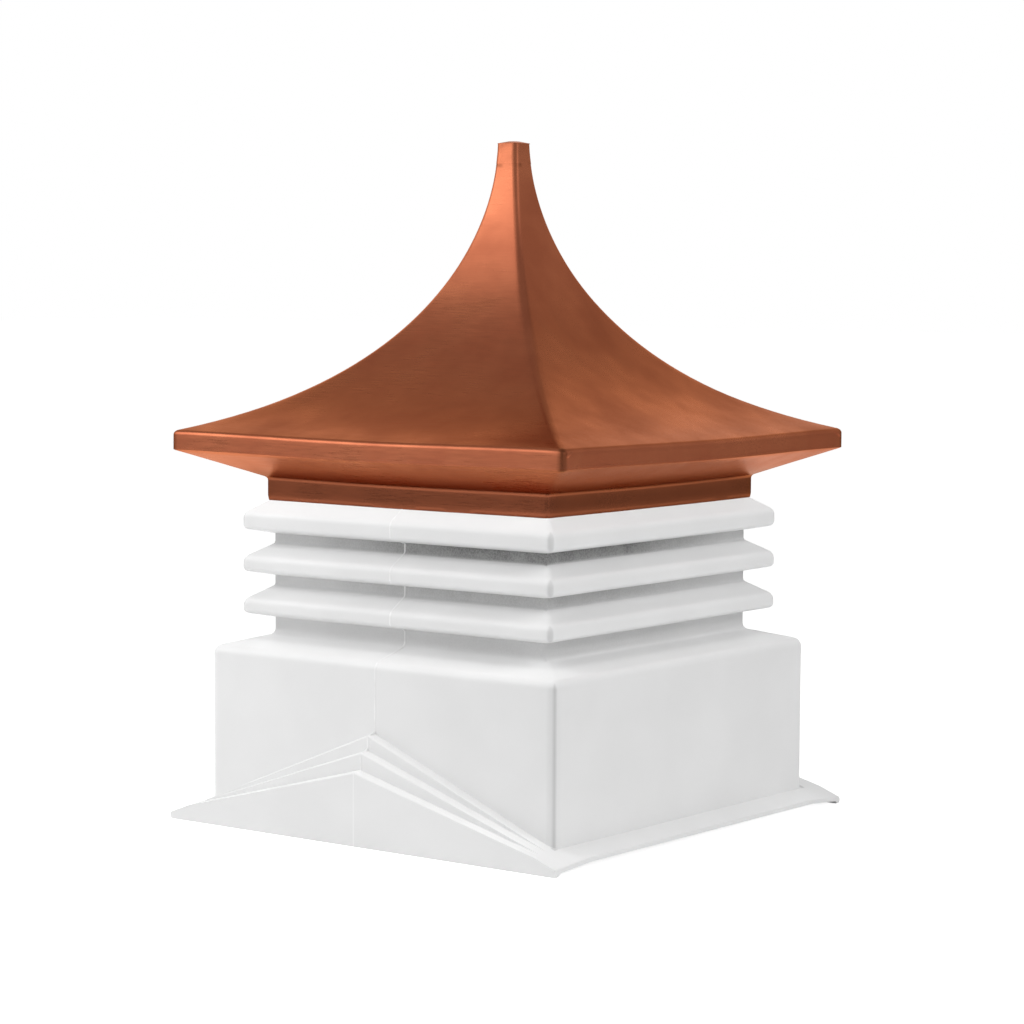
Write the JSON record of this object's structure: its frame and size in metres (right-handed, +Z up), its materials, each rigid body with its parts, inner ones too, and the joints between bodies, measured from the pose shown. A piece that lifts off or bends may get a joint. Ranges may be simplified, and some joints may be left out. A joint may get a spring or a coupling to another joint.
{
  "type": "barn cupola",
  "caption": "Square ventilation cupola for a barn roof: white moulded base and louvred tower on a ridge saddle, under a swept copper roof that rises to a square neck.",
  "frame": {"origin": "centre of the base, at the height of the level floor that its two gable panels stand on", "axes": "+Z up through the neck, -Y out of the front gable, +X out of the right eave side"},
  "size_m": [0.6848, 0.7, 0.959],
  "materials": {
    "copper": "satin",
    "moulded_body": "matte"
  },
  "bodies": {
    "root": {"roof_panel_front": "copper", "fascia_front": "copper", "soffit_front": "copper", "collar_front": "copper", "roof_panel_right": "copper", "fascia_right": "copper", "soffit_right": "copper", "collar_right": "copper", "roof_panel_back": "copper", "fascia_back": "copper", "soffit_back": "copper", "collar_back": "copper", "roof_panel_left": "copper", "fascia_left": "copper", "soffit_left": "copper", "collar_left": "copper", "neck_sleeve": "copper", "neck_cap": "copper", "louvre_1_front": "moulded_body", "louvre_1_right": "moulded_body", "louvre_1_back": "moulded_body", "louvre_1_left": "moulded_body", "louvre_2_front": "moulded_body", "louvre_2_right": "moulded_body", "louvre_2_back": "moulded_body", "louvre_2_left": "moulded_body", "louvre_3_front": "moulded_body", "louvre_3_right": "moulded_body", "louvre_3_back": "moulded_body", "louvre_3_left": "moulded_body", "shoulder_front": "moulded_body", "shoulder_right": "moulded_body", "shoulder_back": "moulded_body", "shoulder_left": "moulded_body", "base_wall_front": "moulded_body", "base_wall_right": "moulded_body", "base_wall_back": "moulded_body", "base_wall_left": "moulded_body", "gable_skirt_front": "moulded_body", "gable_skirt_back": "moulded_body", "eave_flange_left": "moulded_body", "eave_flange_right": "moulded_body"}
  },
  "joints": []
}
